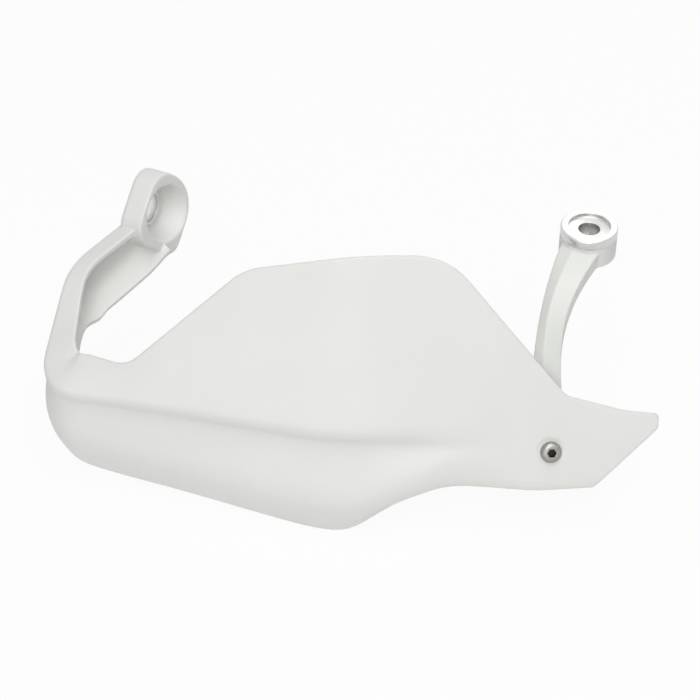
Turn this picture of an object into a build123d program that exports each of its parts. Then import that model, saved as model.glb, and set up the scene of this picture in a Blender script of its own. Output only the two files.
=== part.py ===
from build123d import *
import math
import os
from dataclasses import dataclass, fields

os.makedirs("parts", exist_ok=True)

# The frame: origin in the boss, at the middle of the handlebar's end face, X towards the middle of the bike, Y to the rear, Z up.
# Plan of the ridge line, seen from above
TIP_END = (257.5, -121.6)
NOSE = (98.5, -138.0)
OUTER_CORNER = (-55.3, -99.0)
ARM_ELBOW = (-40.5, -35.0)
NOSE_RADIUS = 110.0
CORNER_RADIUS = 22.0
ELBOW_RADIUS = 45.0
STATION_PITCH = 9.0


@dataclass
class Section:
    """One cross-section of the moulding: x points outward and y up from the ridge line."""

    ridge_height: float
    lean: float
    panel: float
    round: float
    groove_out: float
    groove_drop: float
    roll_out: float
    roll_drop: float
    roll_turn: float
    lip_out: float
    lip_drop: float
    wall: float


# Place along the ridge line (0 tip, 1 nose, 2 outer corner, 3 elbow, 4 boss) and the section there
KEY_SECTIONS = [
    (0.0, Section(-39.5, 28, 30, 7, 6.4, 12, 11.7, 23, 28, 14.5, 31.3, 3)),
    (0.376, Section(-39.5, 28, 42, 7, 6.4, 12, 11.2, 22, 26, 13.0, 31.3, 3)),
    (0.669, Section(-39.5, 30, 104, 7, 3.0, 12, 8.0, 20, 14, 6.0, 30, 3)),
    (0.834, Section(-39.5, 30, 108, 6, -3.5, 12, 8.5, 27, 8, 5.0, 38.7, 3)),
    (1.04, Section(-39.5, 30, 110, 5.5, -6.5, 11.5, 9, 38, 4, 4, 58.5, 3)),
    (1.55, Section(-39.5, 32, 92, 5, -7.2, 11, 4, 34, 0, -1, 52, 3)),
    (1.82, Section(-39.5, 50, 22.5, 5, -5.8, 10.5, 2, 30, 0, -2, 47, 3)),
    (2.0, Section(-38.5, 60, 22.3, 4, -4.2, 10, 0, 26, 0, -4, 39.6, 3)),
    (2.4, Section(-25.5, 76, 15, 3.5, -2, 9, 0, 21, 0, -7, 37, 3.5)),
    (2.8, Section(-13.5, 82, 12, 3, -1.3, 9, 0, 19, 0, -9.4, 30.5, 3.5)),
    (3.0, Section(-9.5, 84, 11.5, 3, -1, 9, 0, 19, 0, -13.3, 33, 3.5)),
    (3.7, Section(-1.5, 85, 11.5, 3, -0.7, 9, 0, 17, 0, -15, 30.5, 4)),
    (4.0, Section(1.5, 86, 11, 3, -0.5, 9, 0, 13, 0, -19.3, 22.5, 4)),
]
WALL_LEG = 5.0
GROOVE_REACH = 2.4
ROLL_LEG = 10.0
KNEE_LEG = 8.0
LEAST_LEG = 0.8
FULL_ROLL = 20.0

# Front outline of lobe and tip, in a plane that leans back with the lobe, from the nose of the ridge
LOBE_LEAN = 30.0
OUTLINE_START = (-128.5, 37.1)
OUTLINE = [
    ((-105.0, 32.4), 14.0),
    ((-46.0, 81.5), 30.0),
    ((8.0, 89.2), 200.0),
    ((51.5, 88.8), 36.0),
    ((110.0, 19.5), 8.0),
    ((140.0, 11.2), 60.0),
    ((156.0, 9.6), 2.5),
    ((155.5, 2.2), 3.0),
]
OUTLINE_END = (106.3, -43.9)
TRIM_FRONT = 40.0
TRIM_BACK = 66.0
TRIM_MARGIN = 25.0

# Bar-end boss, flat towards the upper front, with a slanting cup on its inner side, and its spacer ring
BAR_SWEEP = 26.0
BOSS_WIDTH = 40.0
BOSS_TURN = 45.0
BOSS_FLAT = 15.0
BOSS_FLAT_ROUND = 12.0
BOSS_FOOT_ROUND = 8.0
BOSS_OUTER_ROUND = 3.0
RIM_SLANT = 13.0
RIM_ROUND = 0.8
CUP_FLOOR = 26.0
CUP_RIM = 29.5
CUP_SHIFT = 1.75
CUP_DEPTH = 8.3
RING_OUTER = 19.8
RING_BORE = 15.4
RING_LENGTH = 8.0
RING_CHAMFER = 0.6
SLIP = 0.1

# Screw joint on the tip plate
SCREW_PLACE = 0.367
SCREW_DROP = 13.5
SPOT_DIAMETER = 14.0
SPOT_DEPTH = 0.5
LAND_DIAMETER = 20.0
LAND_HEIGHT = 1.5
SCREW_DIAMETER = 6.0
SCREW_CLEARANCE = 0.6
SCREW_LENGTH = 16.0
HEAD_DIAMETER = 10.5
HEAD_HEIGHT = 3.3
HEAD_RIM = 0.8
SOCKET_ACROSS = 4.0
SOCKET_DEPTH = 2.2

# Clip nut
CLIP_WIDTH = 13.0
CLIP_SHEET = 1.0
CLIP_TOP = 7.0
CLIP_GAP = 0.2
CLIP_HOLE = 9.0
BARREL_DIAMETER = 9.5
BARREL_HEIGHT = 4.5
THREAD_SLIP = 0.1

# Inner bracket
TAB_WIDTH = 22.0
TAB_THICKNESS = 4.5
TAB_END = 11.0
TAB_TOP = 13.0
TAB_CORNER = 4.0
# Share of the arm's length from tab to eye, and the width, thickness and crease there
ARM_SECTIONS = [
    (0.2, 15.0, 7.0, 2.0),
    (0.4, 13.0, 9.0, 3.0),
    (0.6, 13.5, 9.5, 3.0),
    (0.8, 17.0, 10.0, 2.0),
]
ARM_RISE = (45.0, -9.0)
ARM_FLAT = 0.5
CREASE_SIDE = 0.12
EYE_CENTRE = (220.0, -66.0, 25.0)
EYE_DIAMETER = 28.0
EYE_HEIGHT = 11.0
EYE_APPROACH = 62.0
EYE_REACH = 40.0
EYE_ROOT = 21.0

# Flanged bush in the bracket's eye
STEM_BORE = 10.5
SPIGOT_DIAMETER = 19.8
SPIGOT_LENGTH = 10.0
FLANGE_DIAMETER = 28.0
FLANGE_THICKNESS = 5.0
RECESS_DIAMETER = 20.5
RECESS_DEPTH = 2.0
BUSH_CHAMFER = 0.6


def monotone(knots, values, s):
    """Value at s of the smooth monotone curve through the knots."""
    steps = [b - a for a, b in zip(knots, knots[1:])]
    rises = [(b - a) / h for a, b, h in zip(values, values[1:], steps)]
    slopes = [rises[0]]
    for r0, r1 in zip(rises, rises[1:]):
        slopes.append(0.0 if r0 * r1 <= 0 else 2 * r0 * r1 / (r0 + r1))
    slopes.append(rises[-1])
    k = sum(1 for knot in knots[1:-1] if s > knot)
    t = (s - knots[k]) / steps[k]
    return (
        (1 + 2 * t) * (1 - t) ** 2 * values[k]
        + t * (1 - t) ** 2 * steps[k] * slopes[k]
        + t * t * (3 - 2 * t) * values[k + 1]
        - t * t * (1 - t) * steps[k] * slopes[k + 1]
    )


def section_at(place):
    """Cross-section at a place along the ridge line."""
    knots = [knot for knot, _ in KEY_SECTIONS]
    sections = [section for _, section in KEY_SECTIONS]
    return Section(
        *(monotone(knots, [getattr(section, field.name) for section in sections], place) for field in fields(Section))
    )


def inward(direction):
    """Unit normal on the inner side of a downward direction in a section."""
    return Vector(direction.Y, -direction.X).normalized()


def profile(section, inset):
    """Control points of one face of the wall, from the top edge down to the lip."""
    lean = math.radians(section.lean)
    turn = math.radians(section.roll_turn)
    rise = Vector(-math.sin(lean), math.cos(lean))
    groove = Vector(section.groove_out, -section.groove_drop).normalized()
    fall = Vector(math.sin(turn), -math.cos(turn))
    roll = Vector(section.roll_out, -section.roll_drop)
    lip = Vector(section.lip_out, -section.lip_drop)
    ease = min(1.0, section.roll_drop / FULL_ROLL)
    curl = (lip - roll - fall * (KNEE_LEG * ease)).normalized()

    ridge_half = math.radians(groove.get_angle(-rise)) / 2
    ridge = (inward(-rise) + inward(groove)).normalized() * (inset / math.cos(ridge_half))
    ridge_leg = max(section.round - inset * math.tan(ridge_half), LEAST_LEG)
    wall_leg = max(WALL_LEG * ease - inset * math.tan(ridge_half), LEAST_LEG)
    knee_half = math.radians(curl.get_angle(fall)) / 2
    knee_leg = max(KNEE_LEG * ease - inset * math.tan(knee_half), LEAST_LEG)
    top = rise * section.panel + inward(-rise) * inset
    bend = ridge + rise * (2 * ridge_leg)
    roll += inward(fall) * inset
    return [
        top,
        (top + bend) / 2,
        bend,
        ridge + rise * ridge_leg,
        ridge,
        ridge + groove * wall_leg,
        ridge + groove * (GROOVE_REACH * wall_leg),
        roll - fall * (ROLL_LEG * ease),
        roll,
        roll + fall * knee_leg,
        lip + inward(curl) * inset,
    ]


bar = Vector(math.cos(math.radians(BAR_SWEEP)), -math.sin(math.radians(BAR_SWEEP)), 0)
bar_plane = Plane((0, 0, 0), (0, 0, 1), bar)
waypoints = [Vector(*point) for point in (TIP_END, NOSE, OUTER_CORNER, ARM_ELBOW)]
waypoints.append(bar * (-RING_LENGTH / 2))
with BuildLine() as ridge_line:
    FilletPolyline(*waypoints, radius=[NOSE_RADIUS, CORNER_RADIUS, ELBOW_RADIUS])
ridge_wire = ridge_line.wire()
legs = [(end - start).length for start, end in zip(waypoints, waypoints[1:])]
reach = [sum(legs[:k]) / sum(legs) for k in range(len(waypoints))]


def station(place):
    """Plane across the ridge line at a place, with x outward and y up."""
    share = monotone(list(range(len(reach))), reach, place)
    along = ridge_wire.tangent_at(share)
    at = ridge_wire.position_at(share) + Vector(0, 0, section_at(place).ridge_height)
    return Plane(at, Vector(-along.Y, along.X), along)


places = [float(len(legs))]
for leg, length in enumerate(legs):
    steps = round(length / STATION_PITCH)
    places += [leg + step / steps for step in range(steps)]
places.sort()

# The plate's own plane at the screw: x along the guard, y up the plate, z out of its front
screw_station = station(SCREW_PLACE)
screw_section = section_at(SCREW_PLACE)
plate_down = Vector(screw_section.groove_out, -screw_section.groove_drop).normalized()
screw_at = screw_station.from_local_coords(plate_down * SCREW_DROP)
screw_out = screw_station.from_local_coords(plate_down * SCREW_DROP - inward(plate_down)) - screw_at
screw_plane = Plane(screw_at, -screw_station.z_dir, screw_out)
land = screw_section.wall + LAND_HEIGHT

lean = math.radians(LOBE_LEAN)
nose_at = Vector(*NOSE, section_at(1).ridge_height)
trim_plane = Plane(nose_at, (1, 0, 0), (0, -math.cos(lean), math.sin(lean)))

turn = math.radians(BOSS_TURN)
boss_plane = Plane((0, 0, 0), bar_plane.x_dir * math.cos(turn) + bar_plane.y_dir * math.sin(turn), bar)
half = BOSS_WIDTH / 2
slant = math.radians(RIM_SLANT)
rim_plane = Plane(bar * CUP_DEPTH, z_dir=bar * math.cos(slant) + boss_plane.x_dir * math.sin(slant))
with BuildPart() as boss:
    with BuildSketch(boss_plane.offset(-RING_LENGTH)):
        with BuildLine():
            FilletPolyline(
                (BOSS_FLAT, -half),
                (-half, -half),
                (-half, half),
                (BOSS_FLAT, half),
                radius=[BOSS_FLAT_ROUND, half, BOSS_FOOT_ROUND, BOSS_FLAT_ROUND],
                close=True,
            )
        make_face()
    extrude(amount=RING_LENGTH + BOSS_WIDTH)
    fillet(boss.faces().sort_by(Axis((0, 0, 0), bar))[0].edges(), BOSS_OUTER_ROUND)
    split(bisect_by=rim_plane, keep=Keep.BOTTOM)
    fillet(boss.faces().sort_by(Axis((0, 0, 0), bar))[-1].edges(), RIM_ROUND)

with BuildPart() as guard_shell:
    for place in places:
        section = section_at(place)
        front = profile(section, 0)
        back = profile(section, section.wall)
        with BuildSketch(station(place)):
            with BuildLine():
                for face in (front, back):
                    Bezier(*face[0:4])
                    Bezier(*face[3:6])
                    Bezier(*face[5:9])
                    Bezier(*face[8:11])
                Line(front[-1], back[-1])
                Line(back[0], front[0])
            make_face()
    loft()

    # Lobe and tip trimmed to their outline
    corners = [corner for corner, _ in OUTLINE]
    left = OUTLINE_START[0]
    right = max(x for x, _ in corners) + TRIM_MARGIN
    top = max(section.panel for _, section in KEY_SECTIONS) + TRIM_MARGIN
    bottom = OUTLINE_END[1] - TRIM_MARGIN
    with BuildSketch(trim_plane.offset(-TRIM_BACK)):
        with BuildLine():
            FilletPolyline(OUTLINE_START, *corners, OUTLINE_END, radius=[radius for _, radius in OUTLINE])
            Polyline(OUTLINE_END, (OUTLINE_END[0], bottom), (right, bottom), (right, top), (left, top), OUTLINE_START)
        make_face()
    extrude(amount=TRIM_BACK + TRIM_FRONT, mode=Mode.SUBTRACT)

    # Bar-end boss, hollowed to a cup, and the hole for the ring
    add(boss.part)
    with BuildSketch(boss_plane):
        Circle(CUP_FLOOR / 2)
    with BuildSketch(boss_plane.offset(2 * CUP_DEPTH)):
        with Locations((-2 * CUP_SHIFT, 0)):
            Circle(CUP_RIM - CUP_FLOOR / 2)
    loft(mode=Mode.SUBTRACT)
    with BuildSketch(boss_plane):
        Circle(RING_OUTER / 2 + SLIP)
    extrude(amount=BOSS_WIDTH, both=True, mode=Mode.SUBTRACT)

    # Landing behind the plate, spot face and screw hole
    with BuildSketch(screw_plane.offset(-land)):
        Circle(LAND_DIAMETER / 2)
    extrude(amount=land - screw_section.wall / 2)
    with BuildSketch(screw_plane.offset(-SPOT_DEPTH)):
        Circle(SPOT_DIAMETER / 2)
    extrude(amount=HEAD_HEIGHT, mode=Mode.SUBTRACT)
    with BuildSketch(screw_plane):
        Circle((SCREW_DIAMETER + SCREW_CLEARANCE) / 2)
    extrude(amount=2 * land, both=True, mode=Mode.SUBTRACT)

with BuildPart() as bar_end_ring:
    with BuildSketch(bar_plane.offset(-RING_LENGTH)):
        Circle(RING_OUTER / 2)
        Circle(RING_BORE / 2, mode=Mode.SUBTRACT)
    extrude(amount=RING_LENGTH)
    chamfer(bar_end_ring.edges().filter_by(GeomType.CIRCLE).group_by(SortBy.RADIUS)[-1], RING_CHAMFER)

seat = screw_plane.offset(-SPOT_DEPTH)
with BuildPart() as bracket_screw:
    with BuildSketch(seat):
        Circle(HEAD_DIAMETER / 2)
    extrude(amount=HEAD_RIM)
    with BuildSketch(seat.offset(HEAD_RIM)):
        Circle(HEAD_DIAMETER / 2)
    with BuildSketch(seat.offset(HEAD_HEIGHT)):
        Circle(HEAD_DIAMETER / 2 - (HEAD_HEIGHT - HEAD_RIM))
    loft()
    with BuildSketch(seat.offset(HEAD_HEIGHT)):
        RegularPolygon(SOCKET_ACROSS / 2, 6, major_radius=False)
    extrude(amount=-SOCKET_DEPTH, mode=Mode.SUBTRACT)
    with BuildSketch(seat):
        Circle(SCREW_DIAMETER / 2)
    extrude(amount=-SCREW_LENGTH)

tab_front = screw_plane.offset(-land)
tab_back = screw_plane.offset(-land - TAB_THICKNESS)
eye_plane = Plane(EYE_CENTRE)
with BuildPart() as inner_bracket:
    # Flat tab with a pocket for the clip's front leaf
    with BuildSketch(tab_back):
        with Locations((0, (TAB_TOP - TAB_END) / 2)):
            RectangleRounded(TAB_WIDTH, TAB_TOP + TAB_END, TAB_CORNER)
    extrude(amount=TAB_THICKNESS)
    # Creased arm from the tab to the eye
    tab_middle = screw_plane.offset(-land - TAB_THICKNESS / 2)
    arm_start = tab_middle.from_local_coords((0, TAB_TOP - TAB_CORNER, 0))
    arm_lift = tab_middle.y_dir * ARM_RISE[0] + tab_middle.z_dir * ARM_RISE[1]
    approach = math.radians(EYE_APPROACH)
    eye = Vector(*EYE_CENTRE)
    eye_lead = Vector(math.cos(approach), math.sin(approach)) * EYE_REACH
    with BuildLine() as arm_line:
        Bezier(arm_start, arm_start + arm_lift, eye - eye_lead, eye)
    arm_wire = arm_line.wire()
    arm_ends = (
        (0.0, TAB_WIDTH - TAB_CORNER / 2, TAB_THICKNESS, ARM_FLAT),
        (1.0, EYE_ROOT, EYE_HEIGHT - ARM_FLAT, ARM_FLAT),
    )
    for share, width, thickness, crest in (arm_ends[0], *ARM_SECTIONS, arm_ends[1]):
        along = arm_wire.tangent_at(share)
        with BuildSketch(Plane(arm_wire.position_at(share), Vector(along.Y, -along.X, 0), along)):
            with BuildLine():
                Polyline(
                    (-width / 2, thickness / 2),
                    (width / 2, thickness / 2),
                    (width / 2, crest - thickness / 2),
                    (-width * CREASE_SIDE, -thickness / 2),
                    (-width / 2, crest - thickness / 2),
                    close=True,
                )
            make_face()
    loft()
    with BuildSketch(eye_plane.offset(-EYE_HEIGHT / 2)):
        Circle(EYE_DIAMETER / 2)
    extrude(amount=EYE_HEIGHT)
    with BuildSketch(eye_plane):
        Circle(SPIGOT_DIAMETER / 2 + SLIP)
    extrude(amount=EYE_HEIGHT, both=True, mode=Mode.SUBTRACT)
    with BuildSketch(tab_front):
        with Locations((0, (CLIP_TOP - TAB_END) / 2)):
            Rectangle(CLIP_WIDTH + 2 * CLIP_GAP, CLIP_TOP + TAB_END + 2 * CLIP_GAP)
    extrude(amount=-CLIP_SHEET, mode=Mode.SUBTRACT)
    with BuildSketch(tab_front):
        Circle((SCREW_DIAMETER + SCREW_CLEARANCE) / 2)
    extrude(amount=-2 * TAB_THICKNESS, mode=Mode.SUBTRACT)

# Side view of the clip: x up the tab, y out of the plate's front
clip_side = Plane(screw_plane.origin, screw_plane.y_dir, screw_plane.x_dir)
clip_front = -land
clip_back = -land - TAB_THICKNESS - CLIP_SHEET
clip_bend = -TAB_END - CLIP_GAP
clip_radius = (clip_front - clip_back) / 2
with BuildPart() as clip_nut:
    with BuildSketch(clip_side):
        with BuildLine():
            for inset in (0, CLIP_SHEET):
                front = clip_front - inset
                back = clip_back + inset
                Line((CLIP_TOP, front), (clip_bend, front))
                ThreePointArc((clip_bend, front), (clip_bend - clip_radius + inset, (front + back) / 2), (clip_bend, back))
                Line((clip_bend, back), (CLIP_TOP, back))
            Line((CLIP_TOP, clip_front), (CLIP_TOP, clip_front - CLIP_SHEET))
            Line((CLIP_TOP, clip_back), (CLIP_TOP, clip_back + CLIP_SHEET))
        make_face()
    extrude(amount=CLIP_WIDTH / 2, both=True)
    with BuildSketch(screw_plane.offset(clip_back)):
        Circle(BARREL_DIAMETER / 2)
    extrude(amount=-BARREL_HEIGHT)
    with BuildSketch(screw_plane.offset(clip_front)):
        Circle(CLIP_HOLE / 2)
    extrude(amount=-CLIP_SHEET, mode=Mode.SUBTRACT)
    with BuildSketch(screw_plane):
        Circle((SCREW_DIAMETER + THREAD_SLIP) / 2)
    extrude(amount=2 * clip_back, mode=Mode.SUBTRACT)

eye_top = eye_plane.offset(EYE_HEIGHT / 2)
with BuildPart() as stem_bush:
    with BuildSketch(eye_top):
        Circle(FLANGE_DIAMETER / 2)
    extrude(amount=FLANGE_THICKNESS)
    with BuildSketch(eye_top):
        Circle(SPIGOT_DIAMETER / 2)
    extrude(amount=-SPIGOT_LENGTH)
    with BuildSketch(eye_top.offset(FLANGE_THICKNESS)):
        Circle(RECESS_DIAMETER / 2)
    extrude(amount=-RECESS_DEPTH, mode=Mode.SUBTRACT)
    with BuildSketch(eye_top.offset(FLANGE_THICKNESS)):
        Circle(STEM_BORE / 2)
    extrude(amount=-FLANGE_THICKNESS - SPIGOT_LENGTH, mode=Mode.SUBTRACT)
    chamfer(stem_bush.faces().sort_by(Axis.Z)[-1].outer_wire().edges(), BUSH_CHAMFER)

for name, piece in {
    "guard_shell": guard_shell,
    "bar_end_ring": bar_end_ring,
    "bracket_screw": bracket_screw,
    "inner_bracket": inner_bracket,
    "clip_nut": clip_nut,
    "stem_bush": stem_bush,
}.items():
    piece.part.label = name
    export_step(piece.part, f"parts/{name}.step")
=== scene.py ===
"""Studio scene of a motorcycle hand guard: white shell, inner bracket and their fixings."""
import logging
import math
from dataclasses import dataclass, field, replace
from enum import Enum
from typing import Any, Mapping, Optional, Protocol, Union

import bpy
from mathutils import Euler, Matrix, Vector


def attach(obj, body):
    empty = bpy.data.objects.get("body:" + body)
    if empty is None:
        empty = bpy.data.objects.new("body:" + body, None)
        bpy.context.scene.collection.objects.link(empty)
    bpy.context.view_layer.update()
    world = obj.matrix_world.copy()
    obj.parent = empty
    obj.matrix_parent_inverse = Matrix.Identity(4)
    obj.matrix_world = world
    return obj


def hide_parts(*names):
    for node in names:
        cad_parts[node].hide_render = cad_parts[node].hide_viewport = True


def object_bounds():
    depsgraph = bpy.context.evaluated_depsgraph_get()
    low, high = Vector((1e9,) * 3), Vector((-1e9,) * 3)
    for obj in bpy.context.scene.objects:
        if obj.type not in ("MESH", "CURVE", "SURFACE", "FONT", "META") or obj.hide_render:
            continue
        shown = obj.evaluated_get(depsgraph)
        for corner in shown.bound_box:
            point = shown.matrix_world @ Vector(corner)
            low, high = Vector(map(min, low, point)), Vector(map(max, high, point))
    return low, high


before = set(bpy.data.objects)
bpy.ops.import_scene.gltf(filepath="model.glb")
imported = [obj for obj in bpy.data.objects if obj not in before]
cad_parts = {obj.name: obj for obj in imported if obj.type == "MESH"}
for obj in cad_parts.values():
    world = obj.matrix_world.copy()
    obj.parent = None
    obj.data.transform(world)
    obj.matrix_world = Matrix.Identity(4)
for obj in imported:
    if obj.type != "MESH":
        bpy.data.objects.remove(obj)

Colour = tuple[float, float, float, float]
Point = tuple[float, float, float]
Value = Union["Socket", float]
Tint = Union["Socket", Colour]

CAD_BOX = [list(corner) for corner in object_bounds()]
ROOT = "root"
MERGE_DISTANCE = 1e-5
NOISE_MIDDLE = 0.5
WHITE: Colour = (1.0, 1.0, 1.0, 1.0)

# The turn from Z to the bar's axis, which is swept by 26 degrees.
BAR_TURN: Point = (0.0, math.radians(90.0), math.radians(-26.0))

# The Mix node's colour sockets by place, because its sockets share their names.
MIX_SHARE, MIX_LOW, MIX_HIGH, MIX_RESULT = 0, 6, 7, 2

log = logging.getLogger("hand_guard")


class Rounding(Enum):
    """How the edges of a copied solid are rounded."""

    MOULDED = "moulded"
    METAL = "metal"


class Socket:
    """A shader value that plain expressions can combine."""

    def __init__(self, board: "Board", socket: bpy.types.NodeSocket) -> None:
        """Keeps the output socket and the board it is on.

        Args:
            board: The node board of the material.
            socket: The output socket that gives the value.
        """
        self.board = board
        self.socket = socket

    def math(self, operation: str, *others: Value) -> "Socket":
        """Adds a Math node with this value as its first input.

        Args:
            operation: The Math node's operation.
            others: The values of the inputs that follow.

        Returns:
            The node's result.
        """
        values = dict(enumerate((self, *others)))
        return self.board.make("ShaderNodeMath", {"operation": operation}, values)

    def __add__(self, other: Value) -> "Socket":
        """This value plus another."""
        return self.math("ADD", other)

    def __sub__(self, other: Value) -> "Socket":
        """This value less another."""
        return self.math("SUBTRACT", other)

    def __mul__(self, other: Value) -> "Socket":
        """This value times another."""
        return self.math("MULTIPLY", other)

    __radd__ = __add__

    def part(self, axis: str) -> "Socket":
        """One coordinate of a vector value.

        Args:
            axis: X, Y or Z.

        Returns:
            The coordinate.
        """
        return self.board.make("ShaderNodeSeparateXYZ", {}, {"Vector": self}, axis)


class Board:
    """The node board of one material or of the world."""

    def __init__(self, owner: Union[bpy.types.Material, bpy.types.World]) -> None:
        """Clears the owner's nodes.

        Args:
            owner: The material or world that the nodes belong to.
        """
        owner.use_nodes = True
        self.tree = owner.node_tree
        self.tree.nodes.clear()

    def make(
        self,
        kind: str,
        settings: Mapping[str, Any],
        values: Mapping[Union[str, int], Any],
        out: Union[str, int] = 0,
    ) -> Socket:
        """Adds any node.

        Args:
            kind: The node's type.
            settings: The node's own settings, set first.
            values: A number or a Socket for each input, by name or place.
            out: The output that is wanted.

        Returns:
            That output.
        """
        node = self.tree.nodes.new(kind)
        for name, setting in settings.items():
            setattr(node, name, setting)
        for name, value in values.items():
            if isinstance(value, Socket):
                self.tree.links.new(value.socket, node.inputs[name])
            else:
                node.inputs[name].default_value = value
        return Socket(self, node.outputs[out])

    def end(self, kind: str, surface: Socket) -> None:
        """Links a shader to the output node.

        Args:
            kind: The output node's type.
            surface: The shader.
        """
        node = self.tree.nodes.new(kind)
        self.tree.links.new(surface.socket, node.inputs["Surface"])

    def place(self, centre: Point = (0.0, 0.0, 0.0), turn: Point = (0.0, 0.0, 0.0)) -> Socket:
        """Object coordinates, centred and turned for a pattern.

        Args:
            centre: The pattern's centre in metres.
            turn: The pattern's turn about X, Y and Z in radians.

        Returns:
            The coordinates.
        """
        coordinates = self.make("ShaderNodeTexCoord", {}, {}, "Object")
        moved = self.make(
            "ShaderNodeVectorMath", {"operation": "SUBTRACT"}, {0: coordinates, 1: centre}
        )
        return self.make(
            "ShaderNodeMapping", {"vector_type": "TEXTURE"}, {"Vector": moved, "Rotation": turn}
        )

    def round_axis(self, at: Socket) -> tuple[Socket, Socket]:
        """Coordinates of a turned part.

        Args:
            at: Coordinates with the part's axis along Z.

        Returns:
            The distance from the axis and the height along it.
        """
        x, y, z = (at.part(axis) for axis in "XYZ")
        return (x * x + y * y).math("SQRT"), z

    def noise(self, at: Socket, scale: float, detail: float) -> Socket:
        """Noise in space.

        Args:
            at: The coordinates.
            scale: Cells in a metre.
            detail: Octaves.

        Returns:
            The noise, around a half.
        """
        return self.make("ShaderNodeTexNoise", {}, {"Vector": at, "Scale": scale, "Detail": detail})

    def rings(self, along: Socket, scale: float, detail: float) -> Socket:
        """Noise along one line, as a turning tool leaves it.

        Args:
            along: The distance along the line.
            scale: Cells in a metre.
            detail: Octaves.

        Returns:
            The noise, around a half.
        """
        values = {"W": along, "Scale": scale, "Detail": detail}
        return self.make("ShaderNodeTexNoise", {"noise_dimensions": "1D"}, values)

    def between(self, share: Socket, low: Tint, high: Tint) -> Socket:
        """A colour between two others.

        Args:
            share: 0 for the first colour, 1 for the second.
            low: The first colour.
            high: The second colour.

        Returns:
            The mixed colour.
        """
        values = {MIX_SHARE: share, MIX_LOW: low, MIX_HIGH: high}
        return self.make("ShaderNodeMix", {"data_type": "RGBA"}, values, MIX_RESULT)

    def bump(
        self, height: Socket, strength: float, distance: float, under: Optional[Socket] = None
    ) -> Socket:
        """A normal bent by a height.

        Args:
            height: The height, from 0 to 1.
            strength: How much of the bump shows.
            distance: The height's full depth in metres.
            under: The normal that is bent, if it isn't the surface's own.

        Returns:
            The normal.
        """
        values: dict[str, Any] = {"Strength": strength, "Distance": distance, "Height": height}
        if under is not None:
            values["Normal"] = under
        return self.make("ShaderNodeBump", {}, values)


class Finish(Protocol):
    """What every finish can do."""

    def material(self) -> bpy.types.Material:
        """Makes the material."""
        ...


@dataclass(frozen=True)
class MilkyPlastic:
    """Satin white plastic as it leaves the mould."""

    name: str
    milk: Colour
    cloud: Colour
    roughness: float
    glow: float
    glow_reach: float
    glow_tint: Point = (1.0, 0.95, 0.85)
    refraction: float = 1.48
    cloud_scale: float = 14.0
    cloud_octaves: float = 2.0
    cloud_start: float = 0.3
    cloud_gain: float = 1.8
    cloud_dulling: float = 0.1
    grain_scale: float = 2600.0
    grain_octaves: float = 1.0
    grain_gain: float = 0.25
    grain_dulling: float = 0.12
    grain_strength: float = 0.35
    grain_depth: float = 4e-5
    sway_scale: float = 45.0
    sway_octaves: float = 0.0
    sway_strength: float = 0.3
    sway_depth: float = 2.5e-4

    def material(self) -> bpy.types.Material:
        """Milky clouds, a satin grain and the slight sway of a cooled wall.

        Returns:
            The material.
        """
        material = bpy.data.materials.new(self.name)
        board = Board(material)
        at = board.place()
        clouds = board.noise(at, self.cloud_scale, self.cloud_octaves)
        grain = board.noise(at, self.grain_scale, self.grain_octaves)
        sway = board.noise(at, self.sway_scale, self.sway_octaves)
        speck = grain - NOISE_MIDDLE
        share = (clouds - self.cloud_start) * self.cloud_gain + speck * self.grain_gain
        dulling = speck * self.grain_dulling + (clouds - NOISE_MIDDLE) * self.cloud_dulling
        grained = board.bump(grain, self.grain_strength, self.grain_depth)
        shader = board.make(
            "ShaderNodeBsdfPrincipled",
            {},
            {
                "Base Color": board.between(share, self.milk, self.cloud),
                "Roughness": self.roughness + dulling,
                "Normal": board.bump(sway, self.sway_strength, self.sway_depth, grained),
                "IOR": self.refraction,
                "Subsurface Weight": self.glow,
                "Subsurface Radius": self.glow_tint,
                "Subsurface Scale": self.glow_reach,
            },
        )
        board.end("ShaderNodeOutputMaterial", shader)
        return material


@dataclass(frozen=True)
class TurnedZinc:
    """Bright plated metal with the rings of the lathe."""

    name: str
    centre: Point
    turn: Point
    bright: Colour = (0.66, 0.66, 0.65, 1.0)
    dull: Colour = (0.40, 0.40, 0.395, 1.0)
    roughness: float = 0.27
    ring_scale: float = 3200.0
    ring_octaves: float = 3.0
    ring_start: float = 0.4
    ring_gain: float = 0.9
    ring_dulling: float = 0.22
    ring_strength: float = 0.5
    ring_depth: float = 3e-5
    haze_scale: float = 260.0
    haze_octaves: float = 3.0
    haze_gain: float = 0.5
    haze_dulling: float = 0.12

    def material(self) -> bpy.types.Material:
        """Fine rings round the axis, with a faint haze in the plating.

        Returns:
            The material.
        """
        material = bpy.data.materials.new(self.name)
        board = Board(material)
        at = board.place(self.centre, self.turn)
        radius, height = board.round_axis(at)
        rings = board.rings(radius + height, self.ring_scale, self.ring_octaves)
        haze = board.noise(at, self.haze_scale, self.haze_octaves) - NOISE_MIDDLE
        share = (rings - self.ring_start) * self.ring_gain + haze * self.haze_gain
        dulling = (rings - NOISE_MIDDLE) * self.ring_dulling + haze * self.haze_dulling
        shader = board.make(
            "ShaderNodeBsdfPrincipled",
            {},
            {
                "Base Color": board.between(share, self.bright, self.dull),
                "Metallic": 1.0,
                "Roughness": self.roughness + dulling,
                "Normal": board.bump(rings, self.ring_strength, self.ring_depth),
            },
        )
        board.end("ShaderNodeOutputMaterial", shader)
        return material


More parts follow.
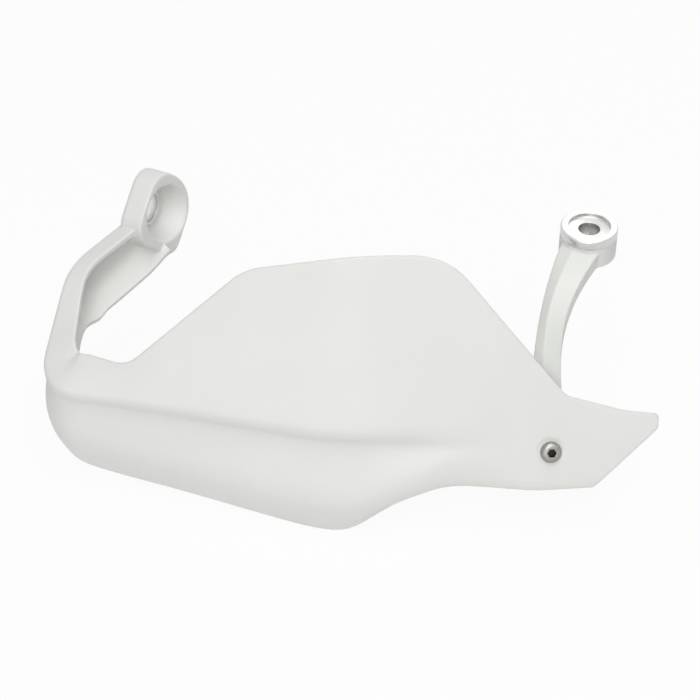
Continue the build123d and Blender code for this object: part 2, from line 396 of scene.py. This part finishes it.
@dataclass(frozen=True)
class DarkSteel:
    """Oiled dark steel with a fine uneven bloom."""

    name: str
    base: Colour
    bloom: Colour
    roughness: float
    centre: Point = (0.0, 0.0, 0.0)
    turn: Point = (0.0, 0.0, 0.0)
    socket_radius: float = 0.0
    socket_top: float = 0.0
    # Near-black colour painted in the hex socket: painted shade of the recess, with the blacking
    # left in it.
    socket_shade: Colour = (0.035, 0.034, 0.032, 1.0)
    bloom_scale: float = 520.0
    bloom_octaves: float = 4.0
    bloom_start: float = 0.35
    bloom_gain: float = 1.6
    bloom_dulling: float = 0.25
    pit_scale: float = 3800.0
    pit_octaves: float = 2.0
    pit_strength: float = 0.4
    pit_depth: float = 3e-5

    def material(self) -> bpy.types.Material:
        """Uneven bloom over a finely pitted ground, and the hex socket painted near black: painted
        shade of the recess, with the blacking that stays in it.

        Returns:
            The material.
        """
        material = bpy.data.materials.new(self.name)
        board = Board(material)
        at = board.place(self.centre, self.turn)
        radius, height = board.round_axis(at)
        # Mask of the hex socket, where painted shade of the recess, with its leftover blacking,
        # turns the colour near black.
        above = height.math("GREATER_THAN", 0.0)
        below = height.math("LESS_THAN", self.socket_top)
        inside = radius.math("LESS_THAN", self.socket_radius) * above * below
        bloom = board.noise(at, self.bloom_scale, self.bloom_octaves)
        pits = board.noise(at, self.pit_scale, self.pit_octaves)
        share = (bloom - self.bloom_start) * self.bloom_gain
        worn = board.between(share, self.base, self.bloom)
        shader = board.make(
            "ShaderNodeBsdfPrincipled",
            {},
            {
                "Base Color": board.between(inside, worn, self.socket_shade),
                "Metallic": 1.0,
                "Roughness": self.roughness + (bloom - NOISE_MIDDLE) * self.bloom_dulling,
                "Normal": board.bump(pits, self.pit_strength, self.pit_depth),
            },
        )
        board.end("ShaderNodeOutputMaterial", shader)
        return material


def take_up(piece: bpy.types.Object) -> None:
    """Makes one object the only selected one, and active.

    Args:
        piece: The object to work on.
    """
    bpy.ops.object.select_all(action="DESELECT")
    piece.select_set(True)
    bpy.context.view_layer.objects.active = piece


def apply_modifier(piece: bpy.types.Object, kind: str, **settings: Any) -> None:
    """Adds a modifier, sets it and applies it.

    Args:
        piece: The object.
        kind: The modifier's type.
        settings: The modifier's settings.
    """
    take_up(piece)
    modifier = piece.modifiers.new(kind.lower(), kind)
    for name, setting in settings.items():
        setattr(modifier, name, setting)
    bpy.ops.object.modifier_apply(modifier=modifier.name)


def merge(piece: bpy.types.Object) -> None:
    """Merges doubled points and turns all faces outwards.

    Args:
        piece: The object.
    """
    take_up(piece)
    bpy.ops.object.mode_set(mode="EDIT")
    bpy.ops.mesh.select_all(action="SELECT")
    bpy.ops.mesh.remove_doubles(threshold=MERGE_DISTANCE)
    bpy.ops.mesh.normals_make_consistent(inside=False)
    bpy.ops.object.mode_set(mode="OBJECT")


def pick_above(piece: bpy.types.Object, height: float) -> None:
    """Selects only the points above a height, with their edges and faces.

    Args:
        piece: The object.
        height: The height along Z in metres.
    """
    take_up(piece)
    bpy.ops.object.mode_set(mode="EDIT")
    bpy.ops.mesh.select_mode(type="VERT")
    bpy.ops.mesh.select_all(action="DESELECT")
    bpy.ops.object.mode_set(mode="OBJECT")
    for point in piece.data.vertices:
        point.select = point.co.z > height


def join(piece: bpy.types.Object, other: bpy.types.Object) -> None:
    """Joins one object into another.

    Args:
        piece: The object that stays.
        other: The object that goes into it.
    """
    take_up(piece)
    other.select_set(True)
    bpy.ops.object.join()


def copied_solid(node: str, name: str) -> bpy.types.Object:
    """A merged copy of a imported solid, ready to be worked on.

    Args:
        node: The solid's node.
        name: The new piece's name.

    Returns:
        The copy.
    """
    piece = bpy.data.objects.new(name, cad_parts[node].data.copy())
    bpy.context.scene.collection.objects.link(piece)
    take_up(piece)
    bpy.ops.mesh.customdata_custom_splitnormals_clear()
    merge(piece)
    piece.data.materials.clear()
    return piece


def settle(piece: bpy.types.Object, node: str, slot: str, finish: Finish) -> None:
    """Dresses a piece, puts it on the body and hides the solid that it stands for.

    Args:
        piece: The finished object.
        node: The solid that it stands for.
        slot: A material slot's name, which is only logged.
        finish: The piece's finish.
    """
    piece.data.materials.append(finish.material())
    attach(piece, ROOT)
    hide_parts(node)
    log.info("%s: %d faces, %s", piece.name, len(piece.data.polygons), slot)


@dataclass
class Rounder:
    """Rounds the edges of a copied solid."""

    rounding: Rounding
    size: float
    passes: int = 10
    last_passes: int = 8
    pull: float = 0.5
    kept_share: float = 0.3
    segments: int = 2
    sharp: float = math.radians(35.0)

    def work(self, piece: bpy.types.Object) -> None:
        """Rounds the edges in the way that the piece was made.

        Args:
            piece: The copied solid.
        """
        if self.rounding is Rounding.MOULDED:
            self.soften(piece)
        else:
            self.break_edges(piece)

    def soften(self, piece: bpy.types.Object) -> None:
        """Softens all rims of a moulding, with its walls kept on the solid's faces.

        Args:
            piece: The copied solid.
        """
        solid = piece.copy()
        solid.data = piece.data.copy()
        bpy.context.scene.collection.objects.link(solid)
        apply_modifier(piece, "REMESH", mode="VOXEL", voxel_size=self.size)
        apply_modifier(piece, "SMOOTH", factor=self.pull, iterations=self.passes)
        apply_modifier(piece, "SHRINKWRAP", target=solid, wrap_method="NEAREST_SURFACEPOINT")
        apply_modifier(piece, "SMOOTH", factor=self.pull, iterations=self.last_passes)
        apply_modifier(piece, "DECIMATE", decimate_type="COLLAPSE", ratio=self.kept_share)
        bpy.data.objects.remove(solid)
        take_up(piece)
        bpy.ops.object.shade_smooth()

    def break_edges(self, piece: bpy.types.Object) -> None:
        """Breaks the sharp edges of a metal part.

        Args:
            piece: The copied solid.
        """
        apply_modifier(
            piece,
            "BEVEL",
            width=self.size,
            segments=self.segments,
            limit_method="ANGLE",
            angle_limit=self.sharp,
        )
        take_up(piece)
        bpy.ops.object.shade_smooth_by_angle(angle=self.sharp)


@dataclass
class GuardShell:
    """The moulded shell and the spacer ring in its bar-end boss."""

    finish: MilkyPlastic = field(
        default_factory=lambda: MilkyPlastic(
            name="shell_white",
            milk=(0.80, 0.806, 0.783, 1.0),
            cloud=(0.765, 0.772, 0.746, 1.0),
            roughness=0.46,
            glow=0.15,
            glow_reach=0.004,
        )
    )
    ring_finish: TurnedZinc = field(
        default_factory=lambda: TurnedZinc(
            name="ring_plating",
            centre=(0.0, 0.0, 0.0),
            turn=BAR_TURN,
            bright=(0.76, 0.76, 0.75, 1.0),
            dull=(0.56, 0.56, 0.55, 1.0),
        )
    )
    rim: Rounder = field(default_factory=lambda: Rounder(Rounding.MOULDED, size=0.0006))
    ring_edge: Rounder = field(default_factory=lambda: Rounder(Rounding.METAL, size=0.0002))

    def build(self) -> None:
        """Builds and dresses the shell and its ring."""
        shell = copied_solid("guard_shell", "shell_moulding")
        self.rim.work(shell)
        settle(shell, "guard_shell", "shell_plastic", self.finish)
        ring = copied_solid("bar_end_ring", "spacer_ring")
        self.ring_edge.work(ring)
        settle(ring, "bar_end_ring", "ring_zinc", self.ring_finish)


@dataclass
class BracketArm:
    """The inner bracket and the flanged bush in its eye."""

    finish: MilkyPlastic = field(
        default_factory=lambda: MilkyPlastic(
            name="bracket_white",
            milk=(0.80, 0.81, 0.78, 1.0),
            cloud=(0.75, 0.765, 0.73, 1.0),
            roughness=0.42,
            glow=0.3,
            glow_reach=0.006,
        )
    )
    bush_finish: TurnedZinc = field(
        default_factory=lambda: TurnedZinc(
            name="bush_plating", centre=(0.220, -0.066, 0.0), turn=(0.0, 0.0, 0.0)
        )
    )
    rim: Rounder = field(default_factory=lambda: Rounder(Rounding.MOULDED, size=0.0004))
    bush_edge: Rounder = field(default_factory=lambda: Rounder(Rounding.METAL, size=0.0003))

    def build(self) -> None:
        """Builds and dresses the bracket and its bush."""
        bracket = copied_solid("inner_bracket", "bracket_moulding")
        self.rim.work(bracket)
        settle(bracket, "inner_bracket", "bracket_plastic", self.finish)
        bush = copied_solid("stem_bush", "flanged_bush")
        self.bush_edge.work(bush)
        settle(bush, "stem_bush", "turned_zinc", self.bush_finish)


@dataclass
class ScrewJoint:
    """The button head screw on the tip plate and the clip nut behind it.

    The seat is the middle of the head's underside, and the screw faces out of it.
    """

    seat: Point = (0.2010516, -0.1333655, -0.0516471)
    out: Point = (0.09053, -0.877696, 0.470588)
    head_radius: float = 0.00525
    head_rim: float = 0.0008
    head_height: float = 0.0033
    dome_segments: int = 9
    socket_sides: int = 6
    socket_across: float = 0.004
    socket_depth: float = 0.0022
    socket_lip: float = 5e-5
    shank_radius: float = 0.003
    shank_length: float = 0.016
    plain_length: float = 0.006
    thread_pitch: float = 0.001
    thread_depth: float = 0.00055
    thread_sink: float = 6.875e-5
    thread_flank: float = 0.00046
    thread_steps: int = 24
    end_turns: float = 2.0
    sides: int = 48
    sharp: float = math.radians(30.0)
    screw_finish: DarkSteel = field(
        default_factory=lambda: DarkSteel(
            name="screw_steel",
            base=(0.30, 0.29, 0.275, 1.0),
            bloom=(0.42, 0.41, 0.39, 1.0),
            roughness=0.4,
        )
    )
    clip_finish: DarkSteel = field(
        default_factory=lambda: DarkSteel(
            name="spring_steel",
            base=(0.22, 0.215, 0.205, 1.0),
            bloom=(0.34, 0.33, 0.315, 1.0),
            roughness=0.4,
        )
    )
    clip_edge: Rounder = field(default_factory=lambda: Rounder(Rounding.METAL, size=0.00015))

    @property
    def socket_corner(self) -> float:
        """The socket's radius over its corners."""
        return self.socket_across / math.sqrt(3.0)

    def placing(self) -> Matrix:
        """The turn and move from the screw's own axis to its seat.

        Returns:
            The matrix.
        """
        turn = Vector(self.out).to_track_quat("Z", "X").to_matrix().to_4x4()
        return Matrix.Translation(self.seat) @ turn

    def head(self) -> bpy.types.Object:
        """A domed button head with a hexagon socket, on the screw's own axis.

        Returns:
            The head.
        """
        bpy.ops.object.select_all(action="DESELECT")
        bpy.ops.mesh.primitive_cylinder_add(
            vertices=self.sides,
            radius=self.head_radius,
            depth=self.head_height,
            location=(0.0, 0.0, self.head_height / 2),
        )
        head = bpy.context.object
        bpy.ops.object.transform_apply(location=True)
        pick_above(head, self.head_height / 2)
        bpy.ops.object.mode_set(mode="EDIT")
        bpy.ops.mesh.bevel(offset=self.head_height - self.head_rim, segments=self.dome_segments)
        bpy.ops.object.mode_set(mode="OBJECT")
        bpy.ops.mesh.primitive_cylinder_add(
            vertices=self.socket_sides,
            radius=self.socket_corner,
            depth=2 * self.socket_depth,
            location=(0.0, 0.0, self.head_height),
        )
        socket = bpy.context.object
        apply_modifier(head, "BOOLEAN", operation="DIFFERENCE", object=socket)
        bpy.data.objects.remove(socket)
        return head

    def shank(self) -> bpy.types.Object:
        """A shank with a rolled thread, on the screw's own axis.

        Returns:
            The shank.
        """
        core = self.shank_radius - self.thread_depth
        threaded = self.shank_length - self.plain_length
        bpy.ops.object.select_all(action="DESELECT")
        bpy.ops.mesh.primitive_cylinder_add(
            vertices=self.sides,
            radius=core,
            depth=threaded,
            location=(0.0, 0.0, -self.shank_length + threaded / 2),
        )
        shank = bpy.context.object
        bpy.ops.object.transform_apply(location=True)
        pick_above(shank, -self.shank_length + threaded / 2)
        bpy.ops.object.mode_set(mode="EDIT")
        bpy.ops.mesh.extrude_region_move(
            TRANSFORM_OT_translate={"value": (0.0, 0.0, self.plain_length)}
        )
        bpy.ops.object.mode_set(mode="OBJECT")
        join(shank, self.thread(core, threaded))
        return shank

    def thread(self, core: float, length: float) -> bpy.types.Object:
        """The helical ridge of the thread.

        Args:
            core: The radius under the thread.
            length: The length of the thread.

        Returns:
            The ridge.
        """
        foot = core - self.thread_sink
        start = self.thread_pitch - self.shank_length
        flank = self.thread_flank
        profile = ((foot, start + flank), (self.shank_radius, start), (foot, start - flank))
        bpy.ops.object.select_all(action="DESELECT")
        bpy.ops.mesh.primitive_circle_add(
            vertices=len(profile), radius=self.thread_pitch / 2, fill_type="NGON"
        )
        ridge = bpy.context.object
        for point, (out, up) in zip(ridge.data.vertices, profile):
            point.co = Vector((out, 0.0, up))
        turns = length / self.thread_pitch - self.end_turns
        steps = int(turns * self.thread_steps)
        apply_modifier(
            ridge,
            "SCREW",
            angle=turns * math.tau,
            screw_offset=turns * self.thread_pitch,
            steps=steps,
            render_steps=steps,
            use_merge_vertices=True,
        )
        bpy.ops.object.mode_set(mode="EDIT")
        bpy.ops.mesh.select_all(action="SELECT")
        bpy.ops.mesh.fill_holes(sides=len(profile))
        bpy.ops.object.mode_set(mode="OBJECT")
        merge(ridge)
        return ridge

    def build(self) -> None:
        """Builds and dresses the screw and the clip nut."""
        screw = self.head()
        join(screw, self.shank())
        screw.name = "button_screw"
        placing = self.placing()
        screw.data.transform(placing)
        take_up(screw)
        bpy.ops.object.shade_smooth_by_angle(angle=self.sharp)
        turn = placing.to_euler()
        finish = replace(
            self.screw_finish,
            centre=self.seat,
            turn=(turn.x, turn.y, turn.z),
            # The socket's size sets where the painted shade in the socket goes.
            socket_radius=self.socket_corner + self.socket_lip,
            socket_top=self.head_height - self.socket_lip,
        )
        settle(screw, "bracket_screw", "dark_steel", finish)
        clip = copied_solid("clip_nut", "spring_clip")
        self.clip_edge.work(clip)
        settle(clip, "clip_nut", "clip_steel", self.clip_finish)


def facing(place: Point, aim: Point) -> Euler:
    """The turn of a lamp or camera towards a point.

    Args:
        place: Where it stands.
        aim: The point that it faces.

    Returns:
        The turn.
    """
    return (Vector(aim) - Vector(place)).to_track_quat("-Z", "Y").to_euler()


@dataclass(frozen=True)
class Softbox:
    """One soft studio lamp."""

    name: str
    place: Point
    size: float
    power: float

    def light(self, aim: Point) -> None:
        """Hangs the lamp and turns it to the object.

        Args:
            aim: The point that it faces.
        """
        bpy.ops.object.light_add(type="AREA", location=self.place)
        lamp = bpy.context.object
        lamp.name = self.name
        lamp.rotation_euler = facing(self.place, aim)
        lamp.data.shape = "DISK"
        lamp.data.size = self.size
        lamp.data.energy = self.power


@dataclass
class Studio:
    """Floor, light and camera."""

    eye: Point = (0.0985, -0.8440, 0.5962)
    aim: Point = (0.1034, -0.1096, -0.0064)
    lens: float = 101.4
    sensor: float = 36.0
    floor_size: float = 8.0
    floor_gap: float = 0.0004
    floor_white: Colour = (0.88, 0.88, 0.88, 1.0)
    floor_glow: float = 0.92
    sky_level: float = 0.2
    lamps: tuple[Softbox, ...] = (
        Softbox("top_softbox", place=(0.25, -0.15, 1.5), size=1.3, power=7.8),
        Softbox("key_softbox", place=(0.04, -1.20, 1.4), size=1.2, power=13.7),
        Softbox("front_softbox", place=(-0.3, -1.6, 0.28), size=1.2, power=4.4),
        Softbox("back_softbox", place=(0.7, 1.3, 0.9), size=1.2, power=5.0),
    )

    def white_share(self, board: Board) -> Socket:
        """1 for rays that show the background, and 0 for those that light the object.

        Args:
            board: The board of the floor or the world.

        Returns:
            The share.
        """
        camera, glossy, through = (
            board.make("ShaderNodeLightPath", {}, {}, f"Is {ray} Ray")
            for ray in ("Camera", "Glossy", "Transmission")
        )
        return camera.math("MAXIMUM", glossy).math("MAXIMUM", through)

    def floor(self) -> None:
        """Lays the pale floor just under the object."""
        bpy.ops.object.select_all(action="DESELECT")
        height = CAD_BOX[0][2] - self.floor_gap
        bpy.ops.mesh.primitive_plane_add(
            size=self.floor_size, location=(self.aim[0], self.aim[1], height)
        )
        floor = bpy.context.object
        floor.name = "floor"
        material = bpy.data.materials.new("pale_floor")
        board = Board(material)
        matt = board.make("ShaderNodeBsdfDiffuse", {}, {"Color": self.floor_white})
        white = board.make("ShaderNodeEmission", {}, {"Color": WHITE, "Strength": 1.0})
        share = self.white_share(board) * self.floor_glow
        mixed = board.make("ShaderNodeMixShader", {}, {0: share, 1: matt, 2: white})
        board.end("ShaderNodeOutputMaterial", mixed)
        floor.data.materials.append(material)

    def sky(self) -> None:
        """Surrounds the scene with even light and a white background."""
        world = bpy.data.worlds.new("white_room")
        bpy.context.scene.world = world
        board = Board(world)
        level = self.sky_level + self.white_share(board) * (1.0 - self.sky_level)
        room = board.make("ShaderNodeBackground", {}, {"Color": WHITE, "Strength": level})
        board.end("ShaderNodeOutputWorld", room)

    def camera(self) -> None:
        """Sets the camera up at the photograph's viewing angle."""
        data = bpy.data.cameras.new("studio_camera")
        data.lens = self.lens
        data.sensor_width = self.sensor
        camera = bpy.data.objects.new("studio_camera", data)
        bpy.context.scene.collection.objects.link(camera)
        camera.location = self.eye
        camera.rotation_euler = facing(self.eye, self.aim)
        bpy.context.scene.camera = camera

    def build(self) -> None:
        """Sets up the whole studio."""
        self.camera()
        self.floor()
        self.sky()
        for lamp in self.lamps:
            lamp.light(self.aim)
        bpy.context.scene.view_settings.view_transform = "Standard"
        log.info("studio: %d lamps, camera of %.1f mm", len(self.lamps), self.lens)


def main() -> None:
    """Builds the scene."""
    logging.basicConfig(level=logging.INFO, format="%(name)s: %(message)s")
    Studio().build()
    GuardShell().build()
    BracketArm().build()
    ScrewJoint().build()


if __name__ == "__main__":
    main()
